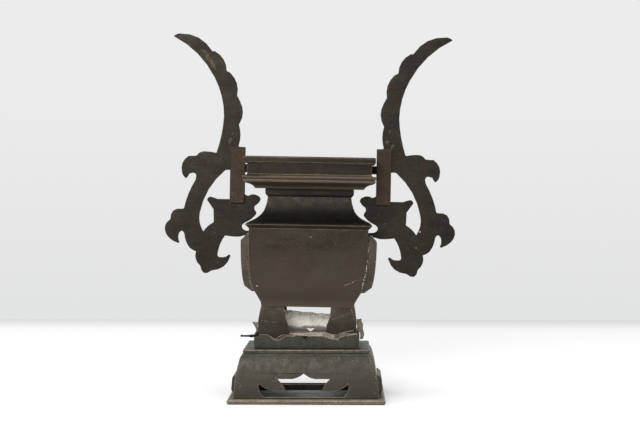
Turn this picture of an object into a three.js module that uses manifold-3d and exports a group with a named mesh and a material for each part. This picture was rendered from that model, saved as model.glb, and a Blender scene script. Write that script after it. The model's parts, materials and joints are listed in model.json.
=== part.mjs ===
// A four-legged altar incense burner of tin sheet with two cut-out ears, standing in a tray on a hollow plinth.
// Millimetres, +Z up, front towards -Y. The origin is on the ground under the middle of the plinth.

import * as THREE from 'three';
import { mergeVertices } from 'three/addons/utils/BufferGeometryUtils.js';
import Module from 'manifold-3d';

const wasm = await Module();
wasm.setup();

// Gaps and sheet thicknesses
const seat = 0.3;
const sheet = 2;
const overrun = 1;

// Foot frame and plinth
const plinthInset = 15.55;
const footHalfWidth = 63.2;
const footHeight = 4.3;
const footArris = 1.2;
const footOverhang = 5;
const footLedge = 2;
const plinthHeight = 38.5;
const plinthShoulderIn = 7.6;
const plinthPlateProud = 0.5;
const plinthPlateThickness = 2.6;
const plinthPlateBevel = 0.7;

// Cut-out in the front and the back of the plinth
const kunmenCentre = -2;
const kunmenHalfWidth = 36;
const kunmenHeight = 18.4;
const kunmenSill = 1;

// Raised panels on the sides of the plinth
const plinthPanelProud = 3.6;
const plinthPanelHalfLength = 26;
const plinthPanelStart = 1.7;
const plinthPanelHeight = 15;
const plinthPanelBevel = 2.4;

// Tray that the legs stand in
const trayHeight = 11;
const trayWall = 1.5;
const trayLegGap = 1.35;
const scallopDepth = 3;

// The burner leans to the right, because its thin legs have given way.
const leanDegrees = 1;

// Legs, bent from sheet to an L section
const burnerInset = 15.7;
const legHeight = 32.8;
const legTopOut = 0.1;
const legTopIn = 2;
const legCurveHeight = 11.4;
const legFlangeWidth = 25.1;
const legFlangeTopWidth = 19.2;
const legSideFlangeWidth = 14;

// Vessel
const vesselHeight = 67.3;
const vesselHalfWidth = 48.2;
const vesselFootIn = 10.4;
const vesselFloor = 2.6;
const lipProud = 3;
const lipHeight = 3.6;

// Raised panels on the sides of the vessel
const vesselPanelProud = 7.1;
const vesselPanelHalfLength = 26;
const vesselPanelStart = 12;
const vesselPanelHeight = 46;
const vesselPanelBevel = 4.5;

// Neck
const neckHeight = 28;
const neckIn = 14.2;
const neckFlare = 2.2;

// Rim moulding
const rollOverhang = 5.8;
const rollHeight = 5;
const ogeeSpan = 10;
const ogeeHeight = 5.6;
const coveIn = 3.9;
const coveHeight = 9.7;
const bandIn = 0.9;
const bandHeight = 5.6;
const quirkDepth = 0.8;

// Ears, drawn at a height of 198, and the straps that hold them
const earDrawnHeight = 198;
const earHeight = 198;
const earThickness = 3;
const earLift = 0.6;
const strapWidth = 12;
const strapThickness = 3;
const strapBelowRoll = 20.4;
const strapAboveRoll = 25.6;

// Torn cover sheet of the tray
const coverThickness = 0.8;
const coverLegGap = 0.7;

// The legs stand under the vessel's foot, and the tray stands round the legs.
const vesselFootHalfWidth = vesselHalfWidth - vesselFootIn;
const legHalfWidth = vesselFootHalfWidth + legTopOut + legTopIn;
const trayHalfWidth = legHalfWidth + trayLegGap + trayWall;

// The neck is drawn in from the vessel, and the rim's roll stands out over it with the other mouldings on it.
const neckHalfWidth = vesselHalfWidth - neckIn;
const rollHalfWidth = vesselHalfWidth + rollOverhang;
const rimUndersideHalfWidth = rollHalfWidth - ogeeSpan;
const coveHalfWidth = rollHalfWidth - coveIn;
const bandHalfWidth = rollHalfWidth - bandIn;

// Heights of the stacked pieces, the plinth's from the ground and the burner's from the plinth's top
const plinthBottom = footHeight + seat;
const plateBottom = plinthBottom + plinthHeight - plinthPlateThickness - seat;
const plinthTop = plateBottom + plinthPlateThickness;
const shellHeight = plateBottom - seat - plinthBottom;
const trayBottom = plinthTop + seat;
const trayTop = trayBottom + trayHeight;
const vesselBottom = legHeight + seat;
const neckBottom = vesselBottom + vesselHeight + seat;
const rimBottom = neckBottom + neckHeight + seat;
const rollBottom = rimBottom + ogeeHeight;
const rollMiddle = rollBottom + rollHeight / 2;
const coveBottom = rollBottom + rollHeight;
const bandBottom = coveBottom + coveHeight;
const rimTop = bandBottom + bandHeight;

// Half widths along the plinth's hollow-backed curve, as shares of its height and of what it loses there
const plinthCurve = [
  [0, 0], [0.2, 0.06], [0.41, 0.15], [0.55, 0.245], [0.64, 0.33], [0.73, 0.42], [0.815, 0.525], [0.9, 0.64],
  [0.96, 0.8], [1, 1],
];
const plinthWidest = footHalfWidth - footOverhang;
const plinthLevels = plinthCurve.map(([up, loss]) => (
  [plinthWidest - plinthShoulderIn * loss, plinthBottom + shellHeight * up]));

// Half widths along the vessel's belly, as shares of its height and of what it loses towards its foot
const bellyCurve = [
  [0, 1], [0.05, 0.97], [0.115, 0.75], [0.197, 0.44], [0.283, 0.25],
  [0.36, 0.155], [0.45, 0.09], [0.545, 0.03], [0.75, -0.01], [0.94, 0],
];
const vesselLevels = bellyCurve.map(([up, loss]) => (
  [vesselHalfWidth - vesselFootIn * loss, vesselBottom + vesselHeight * up]));
const lipHalfWidth = vesselHalfWidth + lipProud;
const lipTop = vesselBottom + vesselHeight;
const lipLevels = [[1, 1], [0.6, 0.7], [0.07, 0.25], [0, 0.14], [0.07, 0]].map(
  ([inward, down]) => [lipHalfWidth - lipProud * inward, lipTop - lipHeight * down]);

// Half widths along the neck, as shares of its height and of the width between its throat and the vessel
const neckCurve = [
  [0, 0.97], [0.04, 0.84], [0.08, 0.71], [0.13, 0.55], [0.19, 0.41], [0.26, 0.29], [0.35, 0.18], [0.47, 0.1],
  [0.6, 0.04], [0.77, 0],
];
const neckLevels = neckCurve.map(([up, share]) => (
  [neckHalfWidth + (lipHalfWidth - neckHalfWidth) * share, neckBottom + neckHeight * up]));

// The flare under the rim, as shares of what it gains and of the neck's height
const flareCurve = [[0.45, 0.81], [0.9, 0.86], [1, 1]];
for (const [gain, up] of flareCurve) {
  neckLevels.push([neckHalfWidth + neckFlare * gain, neckBottom + neckHeight * up]);
}

// Outline of the rim from its underside to its top edge
const rollRound = 0.8;
const ogeeLevels = [[0, 0], [0.03, 0.1], [0.1, 0.27], [0.21, 0.45], [0.4, 0.62], [0.65, 0.74], [0.82, 0.87]].map(
  ([out, up]) => [rimUndersideHalfWidth + ogeeSpan * out, rimBottom + ogeeHeight * up]);
const rollCurve = [[1.1, 0], [1, 0.12], [1, 0.34], [2, 0.42], [0.6, 0.5], [0.1, 0.62], [0, 0.76], [0.4, 0.92], [1, 1]];
const rollLevels = rollCurve.map(([quirks, up]) => (
  [rollHalfWidth - quirkDepth * quirks, rollBottom + rollHeight * up]));
const coveLevels = [
  [coveHalfWidth + rollRound, coveBottom],
  [coveHalfWidth, coveBottom + rollRound],
  [coveHalfWidth, bandBottom],
];
const bandLevels = [
  [bandHalfWidth - rollRound, bandBottom],
  [bandHalfWidth, bandBottom + rollRound],
  [bandHalfWidth, rimTop - rollRound],
  [bandHalfWidth - rollRound, rimTop],
];
const rimLevels = [...ogeeLevels, ...rollLevels, ...coveLevels, ...bandLevels];

// Materials, one for each finish that the tin has taken
function tin(colour, roughness, metalness) {
  return new THREE.MeshStandardMaterial({ color: colour, roughness, metalness, flatShading: true });
}
const darkTin = tin(0x463e38, 0.5, 0.8);
const plinthTin = tin(0x55524b, 0.5, 0.8);
const earTin = tin(0x3e3934, 0.55, 0.8);
const reddishTin = tin(0x4e382c, 0.6, 0.7);
const corrodedTin = tin(0xc8c0b4, 0.8, 0.3);

// Solid with straight sides between closed sections of equally many points, wound the same way
function loft(sections) {
  const count = sections[0].length;
  const index = [];
  for (let level = 0; level + 1 < sections.length; level += 1) {
    for (let corner = 0; corner < count; corner += 1) {
      const here = level * count + corner;
      const next = level * count + (corner + 1) % count;
      index.push(here, next, next + count, here, next + count, here + count);
    }
  }
  const last = (sections.length - 1) * count;
  for (let corner = 1; corner + 1 < count; corner += 1) {
    index.push(0, corner + 1, corner);
    index.push(last, last + corner, last + corner + 1);
  }
  const geometry = new THREE.BufferGeometry();
  geometry.setAttribute('position', new THREE.Float32BufferAttribute(sections.flat(2), 3));
  geometry.setIndex(index);
  return geometry;
}

// Rectangular block whose half width changes with height, and whose half depth is less by the inset
function block(levels, inset) {
  return loft(levels.map(([half, z]) => {
    const deep = half - inset;
    return [[-half, -deep, z], [half, -deep, z], [half, deep, z], [-half, deep, z]];
  }));
}

function solid(geometry) {
  const bare = geometry.clone();
  bare.deleteAttribute('normal');
  bare.deleteAttribute('uv');
  const merged = mergeVertices(bare, 1e-5);
  return new wasm.Manifold(new wasm.Mesh({
    numProp: 3,
    vertProperties: merged.getAttribute('position').array,
    triVerts: new Uint32Array(merged.getIndex().array),
  }));
}

function surface(manifold) {
  const mesh = manifold.getMesh();
  const geometry = new THREE.BufferGeometry();
  geometry.setAttribute('position', new THREE.BufferAttribute(new Float32Array(mesh.vertProperties), 3));
  geometry.setIndex(Array.from(mesh.triVerts));
  return geometry;
}

// The same outline moved by a distance along its normals: outwards where positive
function offset(levels, distance) {
  return levels.map((level, place) => {
    const before = levels[Math.max(place - 1, 0)];
    const after = levels[Math.min(place + 1, levels.length - 1)];
    const rise = after[1] - before[1];
    const run = after[0] - before[0];
    const length = Math.hypot(rise, run);
    return [level[0] + distance * rise / length, level[1] - distance * run / length];
  });
}

// The same outline with both of its ends drawn on, straight up and down
function extended(levels, distance) {
  const first = levels[0];
  const last = levels[levels.length - 1];
  return [[first[0], first[1] - distance], ...levels, [last[0], last[1] + distance]];
}

function shell(levels, inset, wall) {
  return solid(block(levels, inset)).subtract(solid(block(extended(offset(levels, -wall), overrun), inset)));
}

function box(x0, x1, y0, y1, z0, z1) {
  const geometry = new THREE.BoxGeometry(x1 - x0, y1 - y0, z1 - z0);
  geometry.translate((x0 + x1) / 2, (y0 + y1) / 2, (z0 + z1) / 2);
  return geometry;
}

// A plate drawn as seen from the front, with its thickness centred on y = 0
function uprightPlate(points, thickness, opening) {
  const shape = new THREE.Shape(points);
  if (opening) shape.holes.push(new THREE.Path(opening));
  const geometry = new THREE.ExtrudeGeometry(shape, { depth: thickness, bevelEnabled: false });
  geometry.rotateX(Math.PI / 2);
  geometry.translate(0, thickness / 2, 0);
  return geometry;
}

// Points of a closed outline given as [x, z, sag]. The edge that ends there bulges by sag to the right of
// its travel, which is outwards where the outline runs anticlockwise.
const stepsPerBulge = 4;
function outline(path) {
  const points = [];
  let [fromX, fromZ] = path[path.length - 1];
  for (const [x, z, sag = 0] of path) {
    const steps = sag === 0 ? 1 : stepsPerBulge;
    const bulge = 4 * sag / Math.hypot(x - fromX, z - fromZ);
    for (let step = 1; step <= steps; step += 1) {
      const along = step / steps;
      const out = bulge * along * (1 - along);
      points.push(new THREE.Vector2(
        fromX + (x - fromX) * along + (z - fromZ) * out,
        fromZ + (z - fromZ) * along - (x - fromX) * out));
    }
    fromX = x;
    fromZ = z;
  }
  return points;
}

function halfWidthAt(levels, z) {
  const above = Math.max(1, levels.findIndex((level) => level[1] >= z));
  const [lowHalf, lowZ] = levels[above - 1];
  const [highHalf, highZ] = levels[above];
  return lowHalf + (highHalf - lowHalf) * (z - lowZ) / (highZ - lowZ);
}

const model = new THREE.Group();
const burner = new THREE.Group();
burner.position.z = plinthTop;
burner.rotation.y = THREE.MathUtils.degToRad(leanDegrees);
model.add(burner);

function piece(parent, name, geometry, material) {
  const mesh = new THREE.Mesh(geometry, material);
  mesh.name = name;
  parent.add(mesh);
}

// Foot frame: a flat ring with a rounded outer arris, whose ledge carries the plinth's walls
function footFrame() {
  const outer = solid(block([
    [footHalfWidth - footArris, 0],
    [footHalfWidth, footArris],
    [footHalfWidth, footHeight - footArris],
    [footHalfWidth - footArris, footHeight],
  ], plinthInset));
  const openHalf = plinthWidest - sheet - footLedge;
  const open = solid(block([[openHalf, -overrun], [openHalf, footHeight + overrun]], plinthInset));
  return surface(outer.subtract(open));
}

// Cut-out with a pointed top and two hooked wings, drawn from its middle and from its sill
function kunmenPrism() {
  const half = kunmenHalfWidth;
  const top = kunmenHeight;
  const side = [
    [half * 0.875, 0, 0],
    [half * 0.99, top * 0.3, 0.6],
    [half, top * 0.54, 0.2],
    [half * 0.4, top * 0.28, -2.6],
    [half * 0.58, top * 0.77, -0.4],
    [half * 0.26, top * 0.77, 0],
    [0, top, -0.8],
  ];
  const mirrored = [];
  for (let corner = side.length - 2; corner >= 0; corner -= 1) {
    mirrored.push([-side[corner][0], side[corner][1], side[corner + 1][2]]);
  }
  const path = [...side, ...mirrored].map(([x, z, sag]) => (
    [x + kunmenCentre, z + plinthBottom + kunmenSill, sag]));
  return solid(uprightPlate(outline(path), 2 * plinthWidest));
}

function plinthShell() {
  return surface(shell(plinthLevels, plinthInset, sheet).subtract(kunmenPrism()));
}

function plinthTopPlate() {
  const lower = plinthLevels[plinthLevels.length - 1][0] + plinthPlateProud;
  return block([
    [lower, plateBottom],
    [lower, plinthTop - plinthPlateBevel],
    [lower - plinthPlateBevel, plinthTop],
  ], plinthInset);
}

const panelBends = 8;

// Raised panel that follows the side wall behind it, with bevelled edges; side is -1 on the left, 1 on the right
function sidePanel(levels, start, height, proud, halfLength, bevel, side, clearance = 0) {
  const steps = [0];
  for (let bend = 0; bend <= panelBends; bend += 1) {
    steps.push(bevel + (height - 2 * bevel) * bend / panelBends);
  }
  steps.push(height);
  const sections = steps.map((step, place) => {
    const z = start + step;
    const wall = halfWidthAt(levels, z) + seat - clearance;
    const atEnd = place === 0 || place === steps.length - 1;
    const thickness = atEnd ? proud * 0.35 : proud - seat;
    const face = wall + thickness + 2 * clearance;
    const long = halfLength - (atEnd ? bevel : 0) + clearance;
    const slope = atEnd ? 0.2 : bevel;
    const section = [
      [wall, -long, z], [face, slope - long, z], [face, long - slope, z], [wall, long, z],
    ];
    return side > 0 ? section : section.map(([x, y, up]) => [-x, y, up]).reverse();
  });
  sections[0].forEach((point) => { point[2] -= clearance; });
  sections[sections.length - 1].forEach((point) => { point[2] += clearance; });
  return loft(sections);
}

function plinthPanel(side) {
  return sidePanel(
    plinthLevels, footHeight + plinthPanelStart, plinthPanelHeight,
    plinthPanelProud, plinthPanelHalfLength, plinthPanelBevel, side);
}

function vesselPanel(side, clearance = 0) {
  return sidePanel(
    vesselLevels, vesselBottom + vesselPanelStart, vesselPanelHeight,
    vesselPanelProud, vesselPanelHalfLength, vesselPanelBevel, side, clearance);
}

// Tray wall whose front and back edges dip in two shallow scallops with a small point between them
function trayWallRing() {
  const ring = shell([[trayHalfWidth, trayBottom], [trayHalfWidth, trayTop]], plinthInset, trayWall);
  const dip = -scallopDepth;
  const share = trayHalfWidth;
  const path = [
    [-share, overrun], [-share * 0.73, 0], [-share * 0.66, dip], [-share * 0.58, dip],
    [-share * 0.47, 0], [-share * 0.26, 0], [-share * 0.15, dip], [-share * 0.05, 0],
    [share * 0.18, 0], [share * 0.37, dip], [share * 0.47, dip], [share * 0.545, 0], [share, overrun],
  ];
  const cut = uprightPlate(outline(path.map(([x, z]) => [x, z + trayTop])), 2 * trayHalfWidth);
  return surface(ring.subtract(solid(cut)));
}

const legLevels = [
  [legHalfWidth, -sheet],
  [legHalfWidth, legHeight - legCurveHeight],
  [legHalfWidth - legTopIn * 0.45, legHeight - legCurveHeight * 0.45],
  [legHalfWidth - legTopIn, legHeight],
];

// Space between two legs, as wide as their flanges leave; its corners follow the curved inner edges.
function legGap(halfSpan, lowWidth, highWidth) {
  const low = halfSpan - lowWidth;
  const high = halfSpan - legTopIn - highWidth;
  const ends = [
    [low, -2 * sheet], [low, legHeight * 0.42], [low + (high - low) * 0.25, legHeight * 0.58],
    [low + (high - low) * 0.75, legHeight * 0.74], [high, legHeight * 0.84], [high, legHeight + overrun],
  ];
  const mirrored = ends.map(([x, z]) => [-x, z]).reverse();
  return uprightPlate(outline([...ends, ...mirrored]), 3 * legHalfWidth);
}

// The four legs are the corners of one rectangular tube of sheet, cut level where they stand.
function legCorners() {
  const sideGap = legGap(legHalfWidth - burnerInset, legSideFlangeWidth, legSideFlangeWidth * 0.8);
  sideGap.rotateZ(Math.PI / 2);
  const ground = box(-2 * legHalfWidth, 2 * legHalfWidth, -legHalfWidth, legHalfWidth, -legHeight, seat);
  ground.rotateY(-burner.rotation.y);
  const top = box(-legHalfWidth, legHalfWidth, -legHalfWidth, legHalfWidth, legHeight, 2 * legHeight);
  return shell(legLevels, burnerInset, sheet)
    .subtract(solid(legGap(legHalfWidth, legFlangeWidth, legFlangeTopWidth)))
    .subtract(solid(sideGap))
    .subtract(solid(ground))
    .subtract(solid(top));
}

function corner(tube, sideX, sideY) {
  const reach = 2 * legHalfWidth;
  const quarter = box(
    Math.min(0, sideX * reach), Math.max(0, sideX * reach),
    Math.min(0, sideY * reach), Math.max(0, sideY * reach),
    -reach, reach);
  return surface(tube.intersect(solid(quarter)));
}

function vesselBody() {
  const levels = [...vesselLevels, ...lipLevels];
  const inner = extended(offset(vesselLevels, -sheet), vesselHeight);
  const hollow = solid(block(inner, burnerInset)).intersect(solid(box(
    -vesselHalfWidth, vesselHalfWidth, -vesselHalfWidth, vesselHalfWidth,
    vesselBottom + vesselFloor, vesselBottom + vesselHeight + overrun)));
  return surface(solid(block(levels, burnerInset)).subtract(hollow));
}

function neckCollar() {
  return surface(shell(neckLevels, burnerInset, sheet));
}

function rimMoulding() {
  const throat = neckHalfWidth + neckFlare - sheet;
  const hollow = block([
    [throat, rimBottom - overrun],
    [throat, rimBottom + sheet],
    [rimUndersideHalfWidth - sheet, rimBottom + sheet],
    [coveHalfWidth - sheet, rollMiddle],
    [coveHalfWidth - sheet, bandBottom + rollRound],
    [bandHalfWidth - sheet, bandBottom + 2 * rollRound + sheet],
    [bandHalfWidth - sheet, rimTop + overrun],
  ], burnerInset);
  return surface(solid(block(rimLevels, burnerInset)).subtract(solid(hollow)));
}

// Ear outline, from the horn's tip down its scalloped inner edge, round the scroll and up its outer edge.
// The points are distances out from the rim's roll and above its middle.
const earEdge = [
  [61, 115.5, -3.9],
  [56, 117.8, 0.5],
  [28.8, 103.6, 4.4],
  [26.6, 103.6],
  [16.8, 87.6, 2.7],
  [13.6, 86],
  [7.8, 67.5, 2.6],
  [5.4, 63],
  [5.9, 43.5, 2.8],
  [6, 25.6, 1.4],
  [1.4, 24],
  [1.4, 11],
  [-7, 11],
  [-7, 4.2],
  [1.4, 4.2],
  [1.2, -12.6],
  [-2.9, -15.2, -0.6],
  [-10.6, -15, 1.2],
  [-12.9, -18.6, 0.8],
  [-8.4, -23.4, 0.5],
  [-8.4, -27, -0.5],
  [-9.6, -30.2, 0.4],
  [-0.4, -37.4, 0.8],
  [2.2, -39.8, -0.2],
  [2, -41.6],
  [-1.4, -44, -0.5],
  [-10, -44.6],
  [-10, -47.8],
  [-2.4, -47.8],
  [3, -49, -0.3],
  [10.6, -49, 0.2],
  [16, -48.4],
  [21.8, -63, -1],
  [18.8, -66.4, -1.6],
  [12.8, -64.2, -0.8],
  [11.2, -65.4, 0.6],
  [26.4, -77.5, 3.4],
  [36, -73.8, 4.4],
  [39.8, -61.8, 2],
  [45.2, -58.8, 0.4],
  [49.6, -47.6, 0.9],
  [54.2, -47, -2.2],
  [53.7, -54.6, -0.8],
  [55.8, -54.8, 0.6],
  [64.9, -47.6, 1.1],
  [61.4, -35.6, 2.6],
  [51.8, -26.8, 3.7],
  [50.3, -26.4],
  [41.1, -2.8, 1.1],
  [46.4, 2.2, -3.8],
  [49, -1.6, 0.3],
  [52.3, 3.2, 0.6],
  [47, 17, 2.6],
  [40.3, 17.4, -0.2],
  [34.5, 20.9, 0.9],
  [24.1, 19.8, 0.3],
  [18.3, 50.7, -1.1],
  [26.4, 81.7, -1.9],
];

// Opening of the ear, from its upper corner beside the strap, with the metal on the same side of the travel
const earOpening = [
  [11.8, 5.6],
  [16.6, 5.6, -0.3],
  [37.2, -29.8, -3.6],
  [34, -45.4, -1.6],
  [25.4, -37.4, 0.8],
  [25.8, -26.8],
  [31.2, -19.2],
  [28.8, -16.4, 0.6],
  [22.8, -18.2, 0.2],
  [11.8, -18.2],
];

function ear(side) {
  const scale = earHeight / earDrawnHeight;
  const placed = ([out, up, sag = 0]) => (
    [side * (rollHalfWidth + out * scale), rollMiddle + earLift + up * scale, side * sag * scale]);
  const plate = uprightPlate(outline(earEdge.map(placed)), earThickness, outline(earOpening.map(placed)));
  const rimSpace = block(offset(extended(rimLevels, seat), seat), burnerInset);
  const wallLevels = [...vesselLevels, ...lipLevels];
  const wallSpace = block(offset(wallLevels, seat), burnerInset);
  const neckSpace = block(offset(neckLevels, seat), burnerInset);
  return surface(solid(plate)
    .subtract(solid(rimSpace))
    .subtract(solid(wallSpace))
    .subtract(solid(neckSpace))
    .subtract(solid(vesselPanel(side, seat))));
}

// Upright strap beside the rim, in front of its ear or behind it
function earStrap(side, face) {
  const inner = rollHalfWidth + seat;
  const near = earThickness / 2 + seat;
  const xs = [side * inner, side * (inner + strapWidth)].sort((a, b) => a - b);
  const ys = [face * near, face * (near + strapThickness)].sort((a, b) => a - b);
  return box(...xs, ...ys, rollMiddle - strapBelowRoll, rollMiddle + strapAboveRoll);
}

// Thin bent sheet: place(u, v) gives the middle of its thickness, and push the direction across it. The
// directions of u, push and v, in this order, are those of a right hand's thumb, first and middle fingers.
function bentSheet(place, push, columns, rows, thickness) {
  const sections = [];
  for (let column = 0; column <= columns; column += 1) {
    const front = [];
    const back = [];
    for (let row = 0; row <= rows; row += 1) {
      const [x, y, z] = place(column / columns, row / rows);
      const [dx, dy, dz] = push.map((part) => part * thickness / 2);
      front.push([x + dx, y + dy, z + dz]);
      back.unshift([x - dx, y - dy, z - dz]);
    }
    sections.push([...front, ...back]);
  }
  return solid(closedSweep(sections));
}

// Like loft, for sections that aren't convex: each end is closed by strips between its two long edges.
function closedSweep(sections) {
  const geometry = loft(sections);
  const count = sections[0].length;
  const index = Array.from(geometry.getIndex().array).slice(0, (sections.length - 1) * count * 6);
  const last = (sections.length - 1) * count;
  for (let row = 0; row + 1 < count / 2; row += 1) {
    const far = count - 1 - row;
    index.push(row, far, far - 1, row, far - 1, row + 1);
    index.push(last + row, last + far - 1, last + far, last + row, last + row + 1, last + far - 1);
  }
  geometry.setIndex(index);
  return geometry;
}

const coverBottom = trayTop + seat;
const coverMiddle = coverBottom + coverThickness / 2;

// What is left of the sheet: a cross between the legs, with its torn ends bent up, out and over the tray
function tornCover() {
  const legDepth = legHalfWidth - burnerInset;
  const betweenFront = legHalfWidth - legFlangeWidth - coverLegGap;
  const betweenSide = legDepth - legSideFlangeWidth - coverLegGap;
  const insideX = legHalfWidth - sheet - 2 * coverLegGap;
  const insideY = legDepth - sheet - coverLegGap;
  const edgeX = trayHalfWidth;
  const foldX = edgeX + coverLegGap + coverThickness;
  const edgeY = trayHalfWidth - plinthInset;
  const cross = [
    [-betweenFront, -edgeY], [betweenFront, -edgeY], [betweenFront, -insideY], [insideX, -insideY],
    [insideX, -betweenSide], [foldX, -betweenSide], [foldX, betweenSide], [insideX, betweenSide],
    [insideX, insideY], [betweenFront, insideY], [betweenFront, edgeY - trayWall], [-betweenFront, edgeY - trayWall],
    [-betweenFront, insideY], [-insideX, insideY], [-insideX, betweenSide], [-edgeX, betweenSide],
    [-edgeX, -betweenSide], [-insideX, -betweenSide], [-insideX, -insideY], [-betweenFront, -insideY],
  ];
  const deck = new THREE.ExtrudeGeometry(
    new THREE.Shape(cross.map(([x, y]) => new THREE.Vector2(x, y))),
    { depth: coverThickness, bevelEnabled: false });
  deck.translate(0, 0, coverBottom);

  const flapFoot = 15.5;
  const flapTop = 19.6;
  const flapHeight = 15.6;
  const flap = bentSheet((u, v) => {
    const half = flapFoot + (flapTop - flapFoot) * v;
    const x = (2 * u - 1) * half - 0.6;
    const y = 3 + 3 * v - 1.6 * Math.sin(Math.PI * v) - 2.2 * (2 * u - 1) ** 2 + 0.7 * Math.sin(9 * u);
    return [x, y, coverMiddle + v * (flapHeight + 0.7 * Math.cos(7 * u))];
  }, [0, 1, 0], 8, 4, coverThickness);

  const ribbonEnd = legHalfWidth + 1;
  const ribbonStart = betweenFront - 3;
  const ribbonDepth = edgeY - legDepth - coverLegGap;
  const ribbon = bentSheet((u, v) => {
    const x = ribbonStart + (ribbonEnd - ribbonStart) * u;
    const lift = 1.6 * u * u + 0.7 * Math.sin(Math.PI * 4 * u) * Math.sqrt(u) + 0.2;
    return [x, -edgeY + ribbonDepth * v - 0.3, coverMiddle + Math.max(0, lift) + 0.4 * v * u];
  }, [0, 0, -1], 12, 1, coverThickness);

  const prongReach = 12.8;
  const prong = bentSheet((u, v) => (
    [-betweenFront + 2 - (edgeX + prongReach - betweenFront + 2) * u,
      -edgeY + 0.2 + 2 * v, coverMiddle + 0.1 - (u > 0.7 ? 5 * (u - 0.7) : 0)]
  ), [0, 0, 1], 10, 1, coverThickness);

  const leftCurl = bentSheet((u, v) => (
    [-edgeX + 0.8 - 3.6 * u * u, -betweenSide + (2 * betweenSide - 2) * v * (1 - 0.35 * u) + 1 + 2 * u,
      coverMiddle + 8.6 * u]
  ), [1, 0, 0], 5, 2, coverThickness);

  const rightFold = bentSheet((u, v) => (
    [foldX - 0.2 + 0.5 * Math.sin(3 * u + 4 * v) + 1.2 * u, -betweenSide + 0.6 + (2 * betweenSide - 3) * v,
      coverMiddle - 4.4 + 16 * u]
  ), [1, 0, 0], 6, 3, coverThickness);

  return surface(solid(deck).add(flap).add(ribbon).add(prong).add(leftCurl).add(rightFold));
}

piece(model, 'plinth_foot_frame', footFrame(), plinthTin);
piece(model, 'plinth_shell', plinthShell(), plinthTin);
piece(model, 'plinth_top_plate', plinthTopPlate(), plinthTin);
piece(model, 'tray_wall', trayWallRing(), plinthTin);
piece(model, 'torn_cover_sheet', tornCover(), corrodedTin);

const legTube = legCorners();
const sides = [['left', -1], ['right', 1]];
const faces = [['front', -1], ['back', 1]];
for (const [sideName, side] of sides) {
  piece(model, `plinth_side_panel_${sideName}`, plinthPanel(side), plinthTin);
  piece(burner, `vessel_side_panel_${sideName}`, vesselPanel(side), darkTin);
  piece(burner, `ear_${sideName}`, ear(side), earTin);
  for (const [faceName, face] of faces) {
    piece(burner, `leg_${sideName}_${faceName}`, corner(legTube, side, face), darkTin);
    piece(burner, `ear_strap_${sideName}_${faceName}`, earStrap(side, face), reddishTin);
  }
}
piece(burner, 'vessel_body', vesselBody(), darkTin);
piece(burner, 'neck_collar', neckCollar(), darkTin);
piece(burner, 'rim_moulding', rimMoulding(), darkTin);

export default model;
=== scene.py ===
# %% [markdown]
# # A tin incense burner on its plinth
# The burner is soldered from tin sheet that has darkened with age. Its true outlines, walls and openings come
# from the CAD frame, so this lesson doesn't model them again. It adds what a camera sees: worn arrises, a
# mottled patina, flecks of solder, and the thin sheet that once closed the tray and is now torn.

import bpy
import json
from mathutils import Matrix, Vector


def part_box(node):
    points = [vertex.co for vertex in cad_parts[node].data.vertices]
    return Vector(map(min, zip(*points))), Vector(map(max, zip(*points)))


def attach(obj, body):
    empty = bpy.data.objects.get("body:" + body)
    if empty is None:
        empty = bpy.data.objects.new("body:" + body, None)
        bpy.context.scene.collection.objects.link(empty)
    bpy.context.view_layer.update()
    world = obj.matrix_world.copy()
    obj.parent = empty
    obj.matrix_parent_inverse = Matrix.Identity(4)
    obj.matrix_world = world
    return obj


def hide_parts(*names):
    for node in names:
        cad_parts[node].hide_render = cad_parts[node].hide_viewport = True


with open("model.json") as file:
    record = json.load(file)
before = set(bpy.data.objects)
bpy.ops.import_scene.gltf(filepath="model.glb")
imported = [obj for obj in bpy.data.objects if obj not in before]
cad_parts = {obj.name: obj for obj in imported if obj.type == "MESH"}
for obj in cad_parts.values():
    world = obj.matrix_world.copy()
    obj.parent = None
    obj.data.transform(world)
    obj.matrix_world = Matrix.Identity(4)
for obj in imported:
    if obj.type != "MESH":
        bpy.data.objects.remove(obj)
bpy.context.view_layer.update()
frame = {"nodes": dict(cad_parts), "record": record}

import itertools
import json
import math
import random

import bmesh
import bpy
from mathutils import Vector, noise
from mathutils.bvhtree import BVHTree

MM = 0.001
nodes = frame["nodes"]

# %% [markdown]
# ## Camera
# The photograph looks at the front from about 1.2 m away, a little above the middle of the burner. A camera
# that is close has a strong perspective, and one that is far has little. So the camera stands where the
# photograph's perspective puts it, and the same lines fall on the same points.

# %% Camera
PHOTO_WIDTH = 640
PHOTO_HEIGHT = 425
SENSOR = 36
LENS = 81.73

camera_data = bpy.data.cameras.new("camera")
camera_data.lens = LENS
camera_data.sensor_width = SENSOR
camera = bpy.data.objects.new("camera", camera_data)
camera.location = (35 * MM, -1200 * MM, 173.4 * MM)
camera.rotation_euler = (math.radians(90 - 1.005), 0, math.radians(1.183))
bpy.context.scene.collection.objects.link(camera)
bpy.context.scene.camera = camera
bpy.context.view_layer.update()
print("camera at", [round(value, 3) for value in camera.location])

# %% [markdown]
# ## Floor, background and light
# The burner stands on a white table in front of a pale wall. A floor that ends where the wall would stand,
# and a pale world behind it, give the same picture from the front, and leave the other sides open to view.
# The world is dimmer behind the camera, as a room is, so the tin that faces it stays dark.


# %% Helpers for colours and objects
def srgb(red, green, blue):
    """Turns a colour of 0 to 255, as a screen shows it, into the linear one that shaders use."""
    def linear(value):
        value /= 255
        return value / 12.92 if value <= 0.04045 else ((value + 0.055) / 1.055) ** 2.4
    return (linear(red), linear(green), linear(blue), 1)


def mesh_object(name, mesh, *materials):
    made = bpy.data.objects.new(name, mesh)
    bpy.context.scene.collection.objects.link(made)
    for material in materials:
        made.data.materials.append(material)
    return made


print("a screen's 128 is", round(srgb(128, 128, 128)[0], 3), "in linear light")

# %% Floor
FLOOR_SIDE = 3
FLOOR_NEAR = -3
FLOOR_FAR = 0.694
FLOOR_FADE = 0.12

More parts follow.
